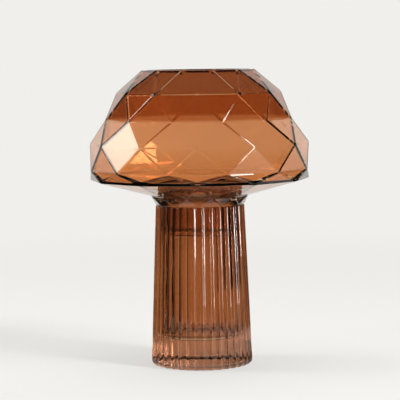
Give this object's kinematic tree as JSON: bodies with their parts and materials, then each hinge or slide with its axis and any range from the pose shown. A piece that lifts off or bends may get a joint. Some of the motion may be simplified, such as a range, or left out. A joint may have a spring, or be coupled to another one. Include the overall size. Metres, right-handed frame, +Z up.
{
  "type": "tealight holder",
  "caption": "Tealight holder of amber glass: a faceted open-topped shade that lifts off a fluted, thick-footed glass base.",
  "frame": {"origin": "centre of the foot, on the surface that the holder stands on", "axes": "+Z up along the axis of the base and the shade, -Y to the front, where the lower belly and the shade's foot have a corner"},
  "size_m": [0.1486, 0.1486, 0.2],
  "materials": {
    "base_glass": "clear brown-amber glass, fire polished",
    "shade_glass": "clear amber glass, polished facets"
  },
  "bodies": {
    "base_body": {"base": "base_glass"},
    "shade_body": {"shade": "shade_glass"}
  },
  "joints": [
    {"name": "shade_lift", "type": "slide", "parent": "base_body", "child": "shade_body", "axis": [0, 0, 1], "range_m": [0, 0.03]}
  ]
}
